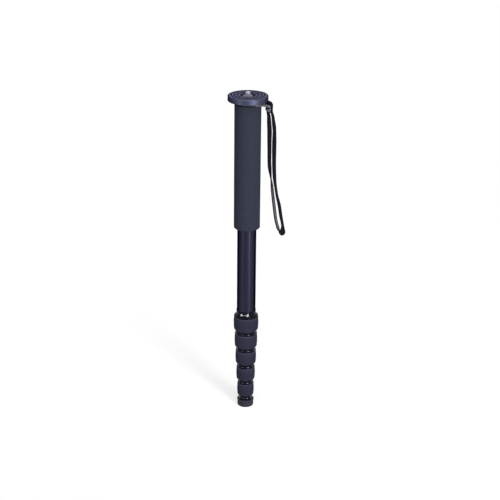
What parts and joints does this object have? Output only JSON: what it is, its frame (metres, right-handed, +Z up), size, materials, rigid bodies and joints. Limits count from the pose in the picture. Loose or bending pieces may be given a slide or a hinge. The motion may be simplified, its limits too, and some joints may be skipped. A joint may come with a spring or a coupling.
{
  "type": "camera monopod",
  "caption": "Telescopic camera monopod, folded, with twist locks, a foam grip, a ribbed camera platform, a wrist strap and a rubber foot.",
  "frame": {"origin": "middle of the rubber foot's ground face", "axes": "+Z up along the tubes to the camera screw, +X to the side where the wrist strap hangs, -Y to the front"},
  "size_m": [0.0752, 0.0514, 0.4424],
  "materials": {
    "anodised_tube": "black anodised, satin",
    "anodised_satin": "dark grey anodised, satin",
    "screw_steel": "bright zinc",
    "pad_rubber": "matte, ribbed",
    "grip_foam": "matte closed-cell foam",
    "lock_rubber": "matte",
    "lock_plastic": "semi-gloss",
    "liner_plastic": "smooth, slippery",
    "strap_weave": "flat woven cord"
  },
  "bodies": {
    "section_6": {"tube_6": "anodised_tube", "guide_bush_6": "liner_plastic", "foot_plug": "lock_plastic", "foot_ring": "lock_plastic", "rubber_foot": "lock_rubber"},
    "section_5": {"tube_5": "anodised_tube", "guide_bush_5": "liner_plastic", "lock_ferrule_5": "lock_plastic", "lock_collet_5": "liner_plastic"},
    "section_4": {"tube_4": "anodised_tube", "guide_bush_4": "liner_plastic", "lock_ferrule_4": "lock_plastic", "lock_collet_4": "liner_plastic"},
    "section_3": {"tube_3": "anodised_tube", "guide_bush_3": "liner_plastic", "lock_ferrule_3": "lock_plastic", "lock_collet_3": "liner_plastic"},
    "section_2": {"tube_2": "anodised_tube", "guide_bush_2": "liner_plastic", "lock_ferrule_2": "lock_plastic", "lock_collet_2": "liner_plastic"},
    "section_1": {"tube_1": "anodised_tube", "lock_ferrule_1": "lock_plastic", "lock_collet_1": "liner_plastic", "foam_grip": "grip_foam", "top_plug": "anodised_tube", "plug_screws": "screw_steel", "platform_disc": "anodised_satin", "platform_pad": "pad_rubber", "camera_screw": "screw_steel"},
    "lock_1": {"lock_nut_1": "lock_plastic", "lock_sleeve_1": "lock_rubber"},
    "lock_2": {"lock_nut_2": "lock_plastic", "lock_sleeve_2": "lock_rubber"},
    "lock_3": {"lock_nut_3": "lock_plastic", "lock_sleeve_3": "lock_rubber"},
    "lock_4": {"lock_nut_4": "lock_plastic", "lock_sleeve_4": "lock_rubber"},
    "lock_5": {"lock_nut_5": "lock_plastic", "lock_sleeve_5": "lock_rubber"},
    "strap": {"strap_hitch": "strap_weave", "strap_knot": "strap_weave", "wrist_strap": "strap_weave"}
  },
  "joints": [
    {"name": "extend_5", "type": "slide", "parent": "section_6", "child": "section_5", "axis": [0, 0, 1], "range_m": [0, 0.25]},
    {"name": "extend_4", "type": "slide", "parent": "section_5", "child": "section_4", "axis": [0, 0, 1], "range_m": [0, 0.25]},
    {"name": "extend_3", "type": "slide", "parent": "section_4", "child": "section_3", "axis": [0, 0, 1], "range_m": [0, 0.25]},
    {"name": "extend_2", "type": "slide", "parent": "section_3", "child": "section_2", "axis": [0, 0, 1], "range_m": [0, 0.25]},
    {"name": "extend_1", "type": "slide", "parent": "section_2", "child": "section_1", "axis": [0, 0, 1], "range_m": [0, 0.25]},
    {"name": "twist_1", "type": "hinge", "parent": "section_1", "child": "lock_1", "pos_m": [0, 0, 0.1243], "axis": [0, 0, -1], "range_deg": [0, 120]},
    {"name": "twist_2", "type": "hinge", "parent": "section_2", "child": "lock_2", "pos_m": [0, 0, 0.099], "axis": [0, 0, -1], "range_deg": [0, 120]},
    {"name": "twist_3", "type": "hinge", "parent": "section_3", "child": "lock_3", "pos_m": [0, 0, 0.0739], "axis": [0, 0, -1], "range_deg": [0, 120]},
    {"name": "twist_4", "type": "hinge", "parent": "section_4", "child": "lock_4", "pos_m": [0, 0, 0.0492], "axis": [0, 0, -1], "range_deg": [0, 120]},
    {"name": "twist_5", "type": "hinge", "parent": "section_5", "child": "lock_5", "pos_m": [0, 0, 0.0247], "axis": [0, 0, -1], "range_deg": [0, 120]},
    {"name": "strap_swivel", "type": "hinge", "parent": "section_1", "child": "strap", "pos_m": [0, 0, 0.4288], "axis": [0, 0, 1], "continuous": true}
  ]
}
